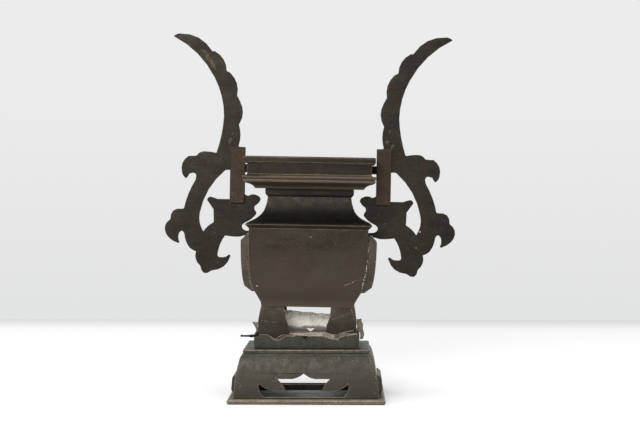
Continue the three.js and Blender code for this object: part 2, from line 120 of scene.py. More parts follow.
floor_material = bpy.data.materials.new("white table")
floor_material.use_nodes = True
floor_nodes = floor_material.node_tree.nodes
floor_links = floor_material.node_tree.links
floor_shader = floor_nodes["Principled BSDF"]
floor_shader.inputs["Roughness"].default_value = 0.9
floor_place = floor_nodes.new("ShaderNodeTexCoord")
floor_axes = floor_nodes.new("ShaderNodeSeparateXYZ")
# The floor turns grey over its last FLOOR_FADE metres before the far edge: painted shade where the wall would
# meet the table.
floor_shade_ramp = floor_nodes.new("ShaderNodeMapRange")
floor_shade_ramp.inputs["From Min"].default_value = FLOOR_FAR - FLOOR_FADE
floor_shade_ramp.inputs["From Max"].default_value = FLOOR_FAR
floor_shade_mix = floor_nodes.new("ShaderNodeMix")
floor_shade_mix.data_type = "RGBA"
floor_shade_mix.inputs["A"].default_value = (0.9, 0.9, 0.9, 1)
floor_shade_mix.inputs["B"].default_value = (0.68, 0.685, 0.69, 1)
floor_links.new(floor_place.outputs["Object"], floor_axes.inputs["Vector"])
floor_links.new(floor_axes.outputs["Y"], floor_shade_ramp.inputs["Value"])
floor_links.new(floor_shade_ramp.outputs["Result"], floor_shade_mix.inputs["Factor"])
floor_links.new(floor_shade_mix.outputs["Result"], floor_shader.inputs["Base Color"])

floor_mesh = bpy.data.meshes.new("floor")
floor_corners = [
    (-FLOOR_SIDE, FLOOR_NEAR, 0), (FLOOR_SIDE, FLOOR_NEAR, 0),
    (FLOOR_SIDE, FLOOR_FAR, 0), (-FLOOR_SIDE, FLOOR_FAR, 0)]
floor_mesh.from_pydata(floor_corners, [], [(0, 1, 2, 3)])
floor = mesh_object("floor", floor_mesh, floor_material)
print("floor ends", FLOOR_FAR, "m behind the burner")

# %% World and lights
WALL_LOW = (0.765, 0.77, 0.77, 1)
WALL_HIGH = (0.84, 0.84, 0.84, 1)
ROOM = (0.34, 0.34, 0.34, 1)
world = bpy.data.worlds.new("pale wall")
world.use_nodes = True
world_nodes = world.node_tree.nodes
world_links = world.node_tree.links
world_place = world_nodes.new("ShaderNodeTexCoord")
world_axes = world_nodes.new("ShaderNodeSeparateXYZ")
world_rise = world_nodes.new("ShaderNodeMapRange")
world_rise.inputs["From Min"].default_value = -0.08
world_rise.inputs["From Max"].default_value = 0.08
world_mix = world_nodes.new("ShaderNodeMix")
world_mix.data_type = "RGBA"
world_mix.inputs["A"].default_value = WALL_LOW
world_mix.inputs["B"].default_value = WALL_HIGH
world_links.new(world_place.outputs["Generated"], world_axes.inputs["Vector"])
world_links.new(world_axes.outputs["Z"], world_rise.inputs["Value"])
world_links.new(world_rise.outputs["Result"], world_mix.inputs["Factor"])
world_depth = world_nodes.new("ShaderNodeMapRange")
world_depth.inputs["From Min"].default_value = -0.5
world_depth.inputs["From Max"].default_value = 0.5
world_room = world_nodes.new("ShaderNodeMix")
world_room.data_type = "RGBA"
world_room.inputs["A"].default_value = ROOM
world_links.new(world_axes.outputs["Y"], world_depth.inputs["Value"])
world_links.new(world_depth.outputs["Result"], world_room.inputs["Factor"])
world_links.new(world_mix.outputs["Result"], world_room.inputs["B"])
world_links.new(world_room.outputs["Result"], world_nodes["Background"].inputs["Color"])
bpy.context.scene.world = world
bpy.context.scene.view_settings.view_transform = "Standard"


def soft_light(name, place, aim, width, height, power):
    """A large area light, which gives the even light of a studio."""
    data = bpy.data.lights.new(name, "AREA")
    data.shape = "RECTANGLE"
    data.size = width
    data.size_y = height
    data.energy = power
    lamp = bpy.data.objects.new(name, data)
    lamp.location = place
    lamp.rotation_euler = (Vector(aim) - Vector(place)).to_track_quat("-Z", "Y").to_euler()
    bpy.context.scene.collection.objects.link(lamp)


MIDDLE = (0, 0, 0.13)
soft_light("top softbox", (-0.15, -0.35, 1.5), MIDDLE, 1.6, 1.0, 14)
soft_light("left softbox", (-1.6, -0.5, 0.7), MIDDLE, 0.9, 1.2, 3.5)
soft_light("right softbox", (1.6, -0.5, 0.7), MIDDLE, 0.9, 1.2, 5)
soft_light("front fill", (-0.3, -1.5, 0.7), (0, 0, 0.06), 0.7, 0.7, 15.5)

# %% [markdown]
# ## Effects that several finishes share
# Old tin is never one colour. Clouds of olive and brown lie over each other, fine grain breaks the gloss, and
# the arrises are rubbed bright. Each effect is one node group with named values, so that the plinth, the
# vessel and the ears use the same effect, each with its own colours.


# %% A helper that starts a node group
def start_group(name, inputs, outputs):
    """A shader node group with its sockets; returns the group, its first node and its last."""
    group = bpy.data.node_groups.new(name, "ShaderNodeTree")
    for title, kind, value in inputs:
        socket = group.interface.new_socket(title, in_out="INPUT", socket_type=kind)
        socket.default_value = value
    for title, kind in outputs:
        group.interface.new_socket(title, in_out="OUTPUT", socket_type=kind)
    return group, group.nodes.new("NodeGroupInput"), group.nodes.new("NodeGroupOutput")


FLOAT = "NodeSocketFloat"
COLOUR = "NodeSocketColor"
VECTOR = "NodeSocketVector"


def noise_node(tree, scale, detail, roughness=0.55, stretch=(1, 1, 1)):
    """Noise in object coordinates, which for every CAD node are the same metres as the frame's."""
    place = tree.nodes.new("ShaderNodeTexCoord")
    mapping = tree.nodes.new("ShaderNodeMapping")
    mapping.inputs["Scale"].default_value = stretch
    texture = tree.nodes.new("ShaderNodeTexNoise")
    texture.inputs["Scale"].default_value = scale
    texture.inputs["Detail"].default_value = detail
    texture.inputs["Roughness"].default_value = roughness
    tree.links.new(place.outputs["Object"], mapping.inputs["Vector"])
    tree.links.new(mapping.outputs["Vector"], texture.inputs["Vector"])
    return texture


def ramp_between(tree, source, low, high, held=True):
    """Stretches a value so that low gives 0 and high gives 1; held stops it from going beyond them."""
    stretch = tree.nodes.new("ShaderNodeMapRange")
    stretch.clamp = held
    stretch.inputs["From Min"].default_value = low
    stretch.inputs["From Max"].default_value = high
    tree.links.new(source, stretch.inputs["Value"])
    return stretch.outputs["Result"]


def mix_colours(tree, factor, first, second):
    """Mixes two colour sockets, or a socket and a plain colour, by a factor socket."""
    mix = tree.nodes.new("ShaderNodeMix")
    mix.data_type = "RGBA"
    tree.links.new(factor, mix.inputs["Factor"])
    for side, title in ((first, "A"), (second, "B")):
        if isinstance(side, tuple):
            mix.inputs[title].default_value = side
        else:
            tree.links.new(side, mix.inputs[title])
    return mix.outputs["Result"]


def end_mask(group, leave, mask, under, over):
    """Ends a group whose mask lays one colour over another: gives out the mixed colour and the mask."""
    group.links.new(mix_colours(group, mask, under, over), leave.inputs["Colour"])
    group.links.new(mask, leave.inputs["Mask"])


BLACK = (0, 0, 0, 1)
WHITE = (1, 1, 1, 1)
print("helpers for node groups are ready")


# %% Mottled patina
def make_patina():
    """Two colours in clouds and level bands, with a third colour in small blotches."""
    group, entry, leave = start_group(
        "mottled patina",
        [("Ground", COLOUR, BLACK), ("Cloud", COLOUR, BLACK), ("Blotch", COLOUR, BLACK),
         ("Stretch", VECTOR, (1, 1, 9))],
        [("Colour", COLOUR), ("Roughness", FLOAT), ("Height", FLOAT)])
    clouds = noise_node(group, 30, 6, 0.62, (1, 1, 1.6))
    bands = noise_node(group, 60, 5, 0.65)
    group.links.new(entry.outputs["Stretch"], bands.inputs["Vector"].links[0].from_node.inputs["Scale"])
    blotches = noise_node(group, 170, 5, 0.6)
    grain = noise_node(group, 900, 3, 0.6)
    cloud_mask = ramp_between(group, clouds.outputs["Fac"], 0.42, 0.68)
    band_mask = ramp_between(group, bands.outputs["Fac"], 0.48, 0.8)
    blotch_mask = ramp_between(group, blotches.outputs["Fac"], 0.52, 0.72)
    clouded = mix_colours(group, cloud_mask, entry.outputs["Ground"], entry.outputs["Cloud"])
    banded = mix_colours(group, band_mask, clouded, entry.outputs["Cloud"])
    blotched = mix_colours(group, blotch_mask, banded, entry.outputs["Blotch"])
    grained = group.nodes.new("ShaderNodeHueSaturation")
    group.links.new(ramp_between(group, grain.outputs["Fac"], -0.15, 0.5, False), grained.inputs["Value"])
    group.links.new(blotched, grained.inputs["Color"])
    group.links.new(grained.outputs["Color"], leave.inputs["Colour"])
    group.links.new(ramp_between(group, blotches.outputs["Fac"], -0.6, 1.7), leave.inputs["Roughness"])
    group.links.new(grain.outputs["Fac"], leave.inputs["Height"])
    return group


patina = make_patina()
print("patina sockets:", [item.name for item in patina.interface.items_tree])


# %% Rubbed arrises
def make_rub():
    """Bare metal that shows through the patina wherever the noise runs high."""
    group, entry, leave = start_group(
        "rubbed arris",
        [("Patina", COLOUR, BLACK), ("Bare", COLOUR, BLACK)],
        [("Colour", COLOUR), ("Mask", FLOAT)])
    rubbing = noise_node(group, 260, 4, 0.7)
    mask = ramp_between(group, rubbing.outputs["Fac"], 0.25, 0.75)
    end_mask(group, leave, mask, entry.outputs["Patina"], entry.outputs["Bare"])
    return group


rub = make_rub()
print("rub sockets:", [item.name for item in rub.interface.items_tree])


# %% Fine specks
def make_specks():
    """Small round specks, such as dust, pits and splashes of solder."""
    group, entry, leave = start_group(
        "specks",
        [("Under", COLOUR, BLACK), ("Speck", COLOUR, WHITE), ("Scale", FLOAT, 300), ("Size", FLOAT, 0.2)],
        [("Colour", COLOUR), ("Mask", FLOAT)])
    place = group.nodes.new("ShaderNodeTexCoord")
    cells = group.nodes.new("ShaderNodeTexVoronoi")
    size = group.nodes.new("ShaderNodeMath")
    size.operation = "LESS_THAN"
    group.links.new(place.outputs["Object"], cells.inputs["Vector"])
    group.links.new(entry.outputs["Scale"], cells.inputs["Scale"])
    chosen = noise_node(group, 130, 2)
    chance = ramp_between(group, chosen.outputs["Fac"], 0.45, 0.75)
    scaled = group.nodes.new("ShaderNodeMath")
    scaled.operation = "MULTIPLY"
    group.links.new(chance, scaled.inputs[0])
    group.links.new(entry.outputs["Size"], scaled.inputs[1])
    group.links.new(cells.outputs["Distance"], size.inputs[0])
    group.links.new(scaled.outputs["Value"], size.inputs[1])
    mask = size.outputs["Value"]
    end_mask(group, leave, mask, entry.outputs["Under"], entry.outputs["Speck"])
    return group


specks = make_specks()
print("speck sockets:", [item.name for item in specks.interface.items_tree])


# %% Painted light and shade that changes with height
PAINTED_TONE_DRIFT = 6 * MM
PAINTED_TONE_MOST = 0.8


def make_painted_light_and_shade():
    """Painted light and shade: turns a colour towards another between two heights in metres, with a noisy
    boundary.
    """
    group, entry, leave = start_group(
        "grime by height",
        [("Under", COLOUR, WHITE), ("Grime", COLOUR, BLACK), ("Clean", FLOAT, 0), ("Dirty", FLOAT, 1)],
        [("Colour", COLOUR), ("Mask", FLOAT)])
    place = group.nodes.new("ShaderNodeTexCoord")
    axes = group.nodes.new("ShaderNodeSeparateXYZ")
    group.links.new(place.outputs["Object"], axes.inputs["Vector"])
    drift = noise_node(group, 90, 4)
    uneven = group.nodes.new("ShaderNodeMath")
    uneven.operation = "MULTIPLY_ADD"
    uneven.inputs[1].default_value = PAINTED_TONE_DRIFT
    group.links.new(drift.outputs["Fac"], uneven.inputs[0])
    group.links.new(axes.outputs["Z"], uneven.inputs[2])
    reach = group.nodes.new("ShaderNodeMapRange")
    reach.inputs["To Max"].default_value = PAINTED_TONE_MOST
    group.links.new(uneven.outputs["Value"], reach.inputs["Value"])
    group.links.new(entry.outputs["Clean"], reach.inputs["From Min"])
    group.links.new(entry.outputs["Dirty"], reach.inputs["From Max"])
    mask = reach.outputs["Result"]
    end_mask(group, leave, mask, entry.outputs["Under"], entry.outputs["Grime"])
    return group


painted_light_and_shade = make_painted_light_and_shade()
print("grime sockets:", [item.name for item in painted_light_and_shade.interface.items_tree])

# %% [markdown]
# ## Finishes
# Tin oxidises to a thin dark skin, so it stays a metal that reflects dimly. The Principled shader does that
# with a dark base colour, some metal and middling roughness. Each finish is the patina group with its own
# colours, specks laid over it, and a faint bump from the grain. A second version with rubbed arrises is for
# bevels. Painting an image on each piece would also do, but one set of groups keeps all the pieces alike.


# %% Tin finishes
def place_group(tree, group, **values):
    """Puts a node group into a material and sets its inputs, given with underscores for spaces."""
    node = tree.nodes.new("ShaderNodeGroup")
    node.node_tree = group
    for title, value in values.items():
        node.inputs[title.replace("_", " ")].default_value = value
    return node


LEVEL = (0.6, 0.6, 9)
UPRIGHT = (6, 6, 0.5)
EVEN = (2, 2, 2)


def oxidised_sheet(name, skin, pits, metal, gloss, relief, bare=None, painted_by_height=None):
    """A material of the patina group with specks and a fine bump.

    skin and pits set the two groups, and relief is the bump's strength and height. bare is the colour that
    arrises are rubbed to. The last argument paints light and shade by height: a colour, the height where
    it starts and the one where it is strongest.
    """
    material = bpy.data.materials.new(name)
    material.use_nodes = True
    tree = material.node_tree
    shader = tree.nodes["Principled BSDF"]
    shader.inputs["Metallic"].default_value = metal
    shader.inputs["Specular IOR Level"].default_value = gloss
    coat = place_group(tree, patina, **skin)
    colour = coat.outputs["Colour"]
    # Painted light and shade that changes with height, where it is given.
    if painted_by_height:
        painted_colour, untinted_height, tinted_height = painted_by_height
        toned = place_group(tree, painted_light_and_shade, Grime=painted_colour, Clean=untinted_height, Dirty=tinted_height)
        tree.links.new(colour, toned.inputs["Under"])
        colour = toned.outputs["Colour"]
    if bare:
        rubbed = place_group(tree, rub, Bare=bare)
        tree.links.new(colour, rubbed.inputs["Patina"])
        colour = rubbed.outputs["Colour"]
    dusted = place_group(tree, specks, **pits)
    tree.links.new(colour, dusted.inputs["Under"])
    tree.links.new(dusted.outputs["Colour"], shader.inputs["Base Color"])
    tree.links.new(coat.outputs["Roughness"], shader.inputs["Roughness"])
    bump = tree.nodes.new("ShaderNodeBump")
    bump.inputs["Strength"].default_value, bump.inputs["Distance"].default_value = relief
    tree.links.new(coat.outputs["Height"], bump.inputs["Height"])
    tree.links.new(bump.outputs["Normal"], shader.inputs["Normal"])
    return material


def tin_finish(name, ground, cloud, blotch, speck, stretch=LEVEL, dusty=0.14, bare=None, painted_by_height=None):
    """Oxidised tin that is still a metal, with fine dust."""
    skin = dict(Ground=ground, Cloud=cloud, Blotch=blotch, Stretch=stretch)
    dust = dict(Speck=speck, Scale=420, Size=dusty)
    return oxidised_sheet(
        name, skin, dust, metal=0.75, gloss=0.3, relief=(0.25, 0.15 * MM), bare=bare, painted_by_height=painted_by_height)


print("stretches of the bands:", LEVEL, UPRIGHT, EVEN)

# %% Colours of each piece
DUST = srgb(122, 114, 100)
dark_colours = dict(ground=srgb(41, 36, 30), cloud=srgb(53, 48, 41), blotch=srgb(50, 39, 31), speck=DUST)
# The vessel turns lighter from 128 mm down to 88 mm: a painted reflection of the white table on its lower
# belly.
vessel_colours = dict(
    ground=srgb(40, 34, 29), cloud=srgb(54, 48, 40), blotch=srgb(52, 40, 31), speck=DUST,
    painted_by_height=(srgb(74, 66, 58), 128 * MM, 88 * MM))
neck_colours = dict(ground=srgb(34, 31, 27), cloud=srgb(46, 42, 36), blotch=srgb(43, 35, 28), speck=DUST)
# The rim turns lighter below about 186 mm: a painted reflection of the white table under its roll.
rim_colours = dict(
    ground=srgb(30, 26, 22), cloud=srgb(44, 39, 32), blotch=srgb(42, 33, 26), speck=DUST,
    painted_by_height=(srgb(80, 71, 60), 186.5 * MM, 185 * MM))
# The side panels' specks are lighter and larger than the dust elsewhere: partly dust, partly painted glints
# off their rough relief.
panel_colours = dict(
    ground=srgb(62, 56, 49), cloud=srgb(92, 85, 75), blotch=srgb(71, 60, 50), speck=srgb(168, 160, 144),
    dusty=0.2)
# The plinth turns darker and warmer from 38 mm down to 22 mm: painted shade on its lower walls.
plinth_colours = dict(
    ground=srgb(53, 52, 46), cloud=srgb(65, 64, 58), blotch=srgb(58, 52, 43), speck=DUST, stretch=UPRIGHT,
    dusty=0.2, painted_by_height=(srgb(57, 52, 46), 38 * MM, 22 * MM))
foot_colours = dict(
    ground=srgb(92, 86, 77), cloud=srgb(108, 102, 90), blotch=srgb(82, 73, 60), speck=srgb(168, 160, 146),
    dusty=0.26)
ear_colours = dict(ground=srgb(31, 28, 24), cloud=srgb(43, 39, 33), blotch=srgb(49, 37, 28), speck=DUST)
strap_colours = dict(
    ground=srgb(45, 37, 30), cloud=srgb(51, 43, 36), blotch=srgb(64, 47, 34), speck=DUST, stretch=UPRIGHT)

finishes = {}
for slot, bare, colours in (
        ("dark_tin", srgb(106, 97, 83), dark_colours),
        ("vessel_tin", srgb(106, 97, 83), vessel_colours),
        ("neck_tin", srgb(80, 72, 60), neck_colours),
        ("rim_tin", srgb(100, 92, 78), rim_colours),
        ("panel_tin", srgb(120, 110, 94), panel_colours),
        ("plinth_tin", srgb(132, 122, 106), plinth_colours),
        ("foot_tin", srgb(132, 122, 106), foot_colours),
        ("ear_tin", srgb(66, 60, 50), ear_colours),
        ("reddish_tin", srgb(70, 60, 49), strap_colours)):
    face = tin_finish(slot, **colours)
    arris = tin_finish(slot + "_arris", bare=bare, **colours)
    finishes[slot] = (face, arris)
print("finishes:", sorted(finishes))

# %% [markdown]
# ## Arrises of the soldered sheet
# Every fold and cut edge of the real sheet is slightly round and catches a thin line of light. The CAD solids
# have sharp edges, so a Bevel modifier rounds them and gives the new faces the rubbed finish. The modifiers
# change only what shows, because the meshes of the frame stay as they are.


# %% Shading that is smooth over curves and sharp at folds
def make_shading(limit):
    """A geometry node group that smooths every face, but keeps the edges above the limit sharp."""
    group = bpy.data.node_groups.new("smooth over curves", "GeometryNodeTree")
    group.interface.new_socket("Geometry", in_out="INPUT", socket_type="NodeSocketGeometry")
    group.interface.new_socket("Geometry", in_out="OUTPUT", socket_type="NodeSocketGeometry")
    entry = group.nodes.new("NodeGroupInput")
    leave = group.nodes.new("NodeGroupOutput")
    smooth = group.nodes.new("GeometryNodeSetShadeSmooth")
    smooth.domain = "FACE"
    angle = group.nodes.new("GeometryNodeInputMeshEdgeAngle")
    gentle = group.nodes.new("FunctionNodeCompare")
    gentle.operation = "LESS_THAN"
    gentle.inputs["B"].default_value = limit
    sharpen = group.nodes.new("GeometryNodeSetShadeSmooth")
    sharpen.domain = "EDGE"
    group.links.new(entry.outputs["Geometry"], smooth.inputs["Geometry"])
    group.links.new(smooth.outputs["Geometry"], sharpen.inputs["Geometry"])
    group.links.new(angle.outputs["Unsigned Angle"], gentle.inputs["A"])
    group.links.new(gentle.outputs["Result"], sharpen.inputs["Shade Smooth"])
    group.links.new(sharpen.outputs["Geometry"], leave.inputs["Geometry"])
    return group


FOLD_ANGLE = math.radians(38)
curve_shading = make_shading(FOLD_ANGLE)


def add_shading(thing):
    thing.modifiers.new("shading", "NODES").node_group = curve_shading
    weigh = thing.modifiers.new("flat faces stay flat", "WEIGHTED_NORMAL")
    weigh.keep_sharp = True


print("edges stay sharp above", round(math.degrees(FOLD_ANGLE)), "degrees")

# %% Bevels and finishes of the CAD nodes
WELD_REACH = 0.01 * MM
ARRIS = 0.35 * MM
SHARPER = math.radians(42)

slot_of = {item["node"]: item["material_slot"] for item in frame["record"]["subparts"]}
slot_of["plinth_foot_frame"] = "foot_tin"
slot_of["vessel_body"] = "vessel_tin"
slot_of["neck_collar"] = "neck_tin"
slot_of["rim_moulding"] = "rim_tin"
for name in slot_of:
    if name.startswith("vessel_side_panel"):
        slot_of[name] = "panel_tin"
for name, node in nodes.items():
    if slot_of[name] not in finishes:
        continue
    node.data.materials.clear()
    for material in finishes[slot_of[name]]:
        node.data.materials.append(material)
    weld = node.modifiers.new("weld", "WELD")
    weld.merge_threshold = WELD_REACH
    bevel = node.modifiers.new("arris", "BEVEL")
    bevel.width = ARRIS
    bevel.segments = 2
    bevel.limit_method = "ANGLE"
    bevel.angle_limit = SHARPER
    bevel.use_clamp_overlap = False
    bevel.material = 1
    add_shading(node)
print("finished", len([name for name in nodes if slot_of[name] in finishes]), "CAD nodes")

# %% [markdown]
# ## The torn cover sheet
# A thin sheet once closed the tray. Now a pale flap stands up between the legs, a crumpled lip lies on the
# front edge, and curls and a prong stick out at the sides. The CAD solid gives only their places, so this
# piece replaces it. Each tongue of metal is a fine grid that noise crumples, and a Solidify modifier makes it
# thick. A simulated fabric would sag softly, but torn tin keeps its dents, so noise suits it better.

# %% Sizes of the tray and the legs, in millimetres
tray_low, tray_high = [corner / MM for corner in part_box("tray_wall")]
COVER_THICK = 0.7
COVER_LIFT = 0.7
CLEAR = 0.4
BETWEEN_LEGS = 14.1
INSIDE_X = 36.0
INSIDE_Y = 21.0
cover_level = tray_high.z + COVER_LIFT
front_y = tray_low.y
print("the sheet lies at", round(cover_level, 1), "mm, and the tray's front is at", round(front_y, 1), "mm")


# %% A tongue of crumpled sheet
# Vector noise takes its offsets from the clock unless it is given a seed.
NOISE_SEED = 7
noise.seed_set(NOISE_SEED)


def tongue(mesh, place, columns, rows, crumple, ragged, finish, seed):
    """Adds a grid whose points place(u, v) gives in millimetres, u along it and v across it."""
    shift = Vector((seed * 3.7, seed * 1.3, seed * 2.1))
    grid = []
    for column in range(columns + 1):
        line = []
        for row in range(rows + 1):
            u = column / columns
            v = row / rows
            tear = noise.noise(Vector((u * 9, v * 9, 0)) + shift) * ragged
            if row == rows:
                v += tear / rows
            if column == columns:
                u += tear / columns
            point = Vector(place(u, v))
            fold = noise.turbulence_vector(point * 0.16 + shift, 3, True)
            line.append(mesh.verts.new((point + fold * crumple) * MM))
        grid.append(line)
    for column in range(columns):
        for row in range(rows):
            face = mesh.faces.new(
                (grid[column][row], grid[column + 1][row], grid[column + 1][row + 1], grid[column][row + 1]))
            face.material_index = finish


def blend(start, end, share):
    return start + (end - start) * share


def along(points, share):
    """The point at a share of the way along a broken line, counted by its corners."""
    place = min(share, 0.999) * (len(points) - 1)
    step = int(place)
    return [blend(a, b, place - step) for a, b in zip(points[step], points[step + 1])]


def rounded(point):
    return [round(value, 1) for value in point]


print("a quarter of the way along a corner:", rounded(along(((0, 0), (4, 0), (4, 4)), 0.25)))


# %% The flap and the deck it is bent up from
def flap(u, v):
    x = blend(blend(-17, 15.5, u), blend(-21.2, 18.5, u), v)
    y = 3 + 3 * v - 1.6 * math.sin(math.pi * v) - 2.2 * (2 * u - 1) ** 2 + 0.7 * math.sin(9 * u)
    return x, y, cover_level + v * blend(16.2, 12.6, u)


FOLD_EDGE = ((-18, 56.1), (-16.4, 59.9), (-13.9, 64), (-17.5, 67.6), (-20.8, 70.4))


def flap_fold(u, v):
    edge, z = along(FOLD_EDGE, u)
    return blend(-22, edge, v), 1.6 + 3 * u, z


def nick(u, v):
    x = blend(blend(2.5, 2.9, u), blend(-0.9, 5.9, u), v)
    return x, -9 + 0.6 * v, blend(54.7, 57.3, v)


def deck_middle(u, v):
    return blend(-BETWEEN_LEGS, BETWEEN_LEGS, u), blend(front_y + 1.2, INSIDE_Y, v), cover_level


def deck_left(u, v):
    return blend(-INSIDE_X, -BETWEEN_LEGS, u), blend(-INSIDE_Y, INSIDE_Y, v), cover_level


def deck_right(u, v):
    return blend(BETWEEN_LEGS, INSIDE_X, u), blend(-INSIDE_Y, INSIDE_Y, v), cover_level


print("the middle of the flap rises from", rounded(flap(0.5, 0)), "to", rounded(flap(0.5, 1)))

# %% The lip, hems and prong along the front edge
front_face = front_y - CLEAR
LIP_TOP = ((-16.2, 53.6), (-12, 54.3), (-4, 54.9), (4, 55.3), (12, 55.4), (16.4, 55.1))
LEFT_HEM = ((-29.4, 52.6), (-28, 51.4), (-26.2, 49.7), (-22.9, 49.4), (-20, 50.8), (-17.7, 52.4), (-15.4, 54))
LOW_HEM = ((12.6, 53.4), (17.4, 51.6), (20.6, 50.6), (25, 50), (27.2, 52.2), (33.6, 53.6), (40.6, 54.5))
HIGH_HEM = ((15.6, 55.4), (18.4, 54.6), (21.4, 53.8), (24.4, 54.1), (26.8, 54.9), (31, 56), (38, 57.4))
CRUMPLE_TOP = ((12.9, 54.8), (18, 54.4), (23, 53.9), (26.5, 54.5), (29, 54.9), (34, 55.2), (40.8, 55.1))


def front_lip(u, v):
    x, top = along(LIP_TOP, u)
    return x, blend(front_face, front_y + 1.8, v), blend(tray_high.z - 1.5, top, v)


def lip_scrap(u, v):
    return blend(-9.6, -3.4, u), front_face + 0.1, blend(50.8 + 1.2 * abs(2 * u - 1), 53.2, v)


# A very dark sheet just in front of the lip's V notch: painted shadow in the notch.
def notch_shadow(u, v):
    middle = -1.5
    half = 2.4 * v + 0.2
    return middle + (2 * u - 1) * half, front_face - 0.4, blend(50.9, 52.9, v)


def hem(line, wide, out):
    """A narrow strip of torn edge that stands out along a line of the front."""
    def place(u, v):
        x, z = along(line, u)
        return x, front_face - out + 0.5 * v, z + (v - 0.5) * wide
    return place


def crumple_face(u, v):
    foot_x, foot_z = along(LOW_HEM, u)
    top_x, top_z = along(CRUMPLE_TOP, u)
    return blend(foot_x, top_x, v), front_face + 0.9 * v * v, blend(foot_z, top_z, v)


def prong(u, v):
    x = blend(-38.5, -53.6, u)
    knot = 0.5 * math.exp(-((x + 44.5) / 1.6) ** 2)
    drop_past_tray = blend(0.6, 1.9, min(1, max(0, (-38 - x) / 5)))
    return x, front_face - 0.2 + 0.5 * v, cover_level - drop_past_tray + (v - 0.5) * (1.3 + 2.4 * knot)


print("the prong ends at", rounded(prong(1, 0.5)))


# %% The curls at the sides
def left_curl(u, v):
    outer = blend(-41.9, -45.2, u * u)
    bend = 0.35
    if v < bend:
        x = blend(blend(-41.2, -40.6, u), outer, v / bend)
        return x, -9.6 + v, cover_level + 7.6 * u
    return outer + 0.8 * (v - bend), blend(-9.3, 5, (v - bend) / (1 - bend)), cover_level + (8.2 - 3 * v) * u


def right_fold(u, v):
    z = cover_level - 6.4 + 16.4 * u
    inner = tray_high.x + CLEAR + 0.2
    lean = 0.7 * math.sin(4.5 * u + 0.4)
    bend = 0.35
    start = inner if z < cover_level else inner - 2.2
    outer = inner + 1.9 + lean + 0.9 * noise.noise(Vector((u * 6, 4.2, 1.7)))
    if v < bend:
        return blend(start, outer, v / bend), -10.4 + 3 * v, z + 1.2 * v
    return outer - 0.9 * (v - bend), blend(-9.4, 6, (v - bend) / (1 - bend)), z + 0.4 - 3 * (v - bend) * u


def inner_ply(u, v):
    x = tray_high.x - 2.6 + 1.1 * u + 0.5 * math.sin(5 * u)
    return x, blend(-11.5, 3, v), cover_level - 0.3 + 9.8 * u


print("the right fold ends at", rounded(right_fold(1, 1)))


# %% Finishes of the cover
def torn_finish(name, ground, cloud, blotch, speck, speck_size, metal, gloss=0.15, painted_by_height=None):
    """Corroded sheet, duller than tin, with larger pits and a stronger bump."""
    skin = dict(Ground=ground, Cloud=cloud, Blotch=blotch, Stretch=EVEN)
    pits = dict(Speck=speck, Scale=520, Size=speck_size)
    return oxidised_sheet(name, skin, pits, metal=metal, gloss=gloss, relief=(0.4, 0.2 * MM), painted_by_height=painted_by_height)


PALE = dict(ground=srgb(254, 251, 243), cloud=srgb(244, 237, 223), blotch=srgb(230, 216, 202))
GREY = dict(ground=srgb(104, 96, 86), cloud=srgb(128, 120, 108), blotch=srgb(84, 75, 65))
HEM = dict(ground=srgb(136, 129, 118), cloud=srgb(172, 164, 152), blotch=srgb(92, 85, 75))
DULL = dict(ground=srgb(66, 60, 53), cloud=srgb(118, 110, 99), blotch=srgb(46, 41, 36))
# These darkest colours are the prong's own dark tin, and also the painted shadow in the lip's notch.
DARK_AND_SHADOW = dict(ground=srgb(16, 15, 13), cloud=srgb(26, 24, 21), blotch=srgb(12, 11, 10))
# The flap turns darker below about 62 mm: painted shade at its foot.
pale_sheet = torn_finish(
    "corroded_tin", speck=srgb(64, 58, 52), speck_size=0.42, metal=0,
    painted_by_height=(srgb(84, 83, 81), 62.2 * MM, 60 * MM), **PALE)
pale_edge = torn_finish("corroded_tin_edge", speck=srgb(60, 56, 50), speck_size=0.6, metal=0.1, **GREY)
grey_sheet = torn_finish("torn_tin", speck=srgb(70, 64, 56), speck_size=0.3, metal=0.3, **GREY)
grey_edge = torn_finish("torn_tin_edge", speck=srgb(70, 64, 56), speck_size=0.5, metal=0.2, **HEM)
# Nearly glossless: the prong's own tin, and the painted shadow in the lip's notch.
dark_and_shadow_sheet = torn_finish("prong_tin", speck=srgb(60, 55, 48), speck_size=0.2, metal=0, gloss=0.02, **DARK_AND_SHADOW)
dull_sheet = torn_finish("crumpled_tin", speck=srgb(140, 132, 120), speck_size=0.4, metal=0.3, **DULL)
white_sheet = torn_finish("bright_scrap", speck=srgb(120, 112, 100), speck_size=0.1, metal=0, **PALE)
tray_sheet = finishes["plinth_tin"][0]
cover_finishes = []
for face, edge in (
        (pale_sheet, pale_edge), (grey_sheet, grey_edge), (grey_edge, grey_edge), (dark_and_shadow_sheet, dark_and_shadow_sheet),
        (dull_sheet, grey_edge), (tray_sheet, tray_sheet), (white_sheet, white_sheet),
        (grey_sheet, grey_sheet)):
    cover_finishes += [face, edge]
FLAP_FINISH, GREY_FINISH, HEM_FINISH, DARK_AND_SHADOW_FINISH = range(0, 8, 2)
DULL_FINISH, TRAY_FINISH, WHITE_FINISH, MUTED_FINISH = range(8, 16, 2)
print("cover finishes:", [material.name for material in cover_finishes])

